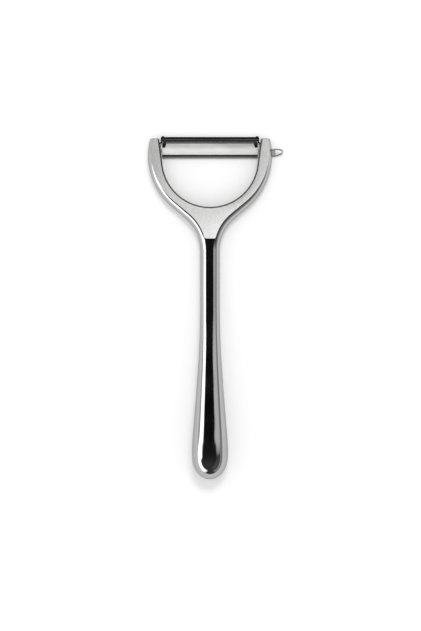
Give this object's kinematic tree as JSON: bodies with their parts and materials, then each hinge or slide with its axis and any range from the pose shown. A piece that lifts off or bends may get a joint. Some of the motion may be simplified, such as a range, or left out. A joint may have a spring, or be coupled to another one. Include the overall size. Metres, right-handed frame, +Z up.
{
  "type": "vegetable peeler",
  "caption": "All-metal Y-shaped vegetable peeler: round chromed handle, satin-faced fork, slotted swivel blade between the arm tips and a wire eye remover on one arm.",
  "frame": {"origin": "on the flat ground back of the fork, under the middle of the throat, in the plane of the table that the peeler lies on", "axes": "+X to the right arm as seen from the front, along the blade's swivel axis; +Y along the table towards the arm tips; +Z up, out of the front face"},
  "size_m": [0.0677, 0.1711, 0.018],
  "materials": {
    "frame_chrome": "bright chrome plating, with a satin ground front face on the fork",
    "blade_steel": "stamped stainless strip, brushed along its length, ground cutting edge",
    "pin_steel": "turned stainless pin, bright",
    "wire_steel": "drawn stainless wire, lightly polished"
  },
  "bodies": {
    "frame": {"handle_frame": "frame_chrome", "eye_remover": "wire_steel"},
    "blade": {"swivel_blade": "blade_steel", "pivot_pin_left": "pin_steel", "pivot_pin_right": "pin_steel"}
  },
  "joints": [
    {"name": "blade_swivel", "type": "hinge", "parent": "frame", "child": "blade", "pos_m": [0, 0.03996, 0.00248], "axis": [1, 0, 0], "continuous": true}
  ]
}
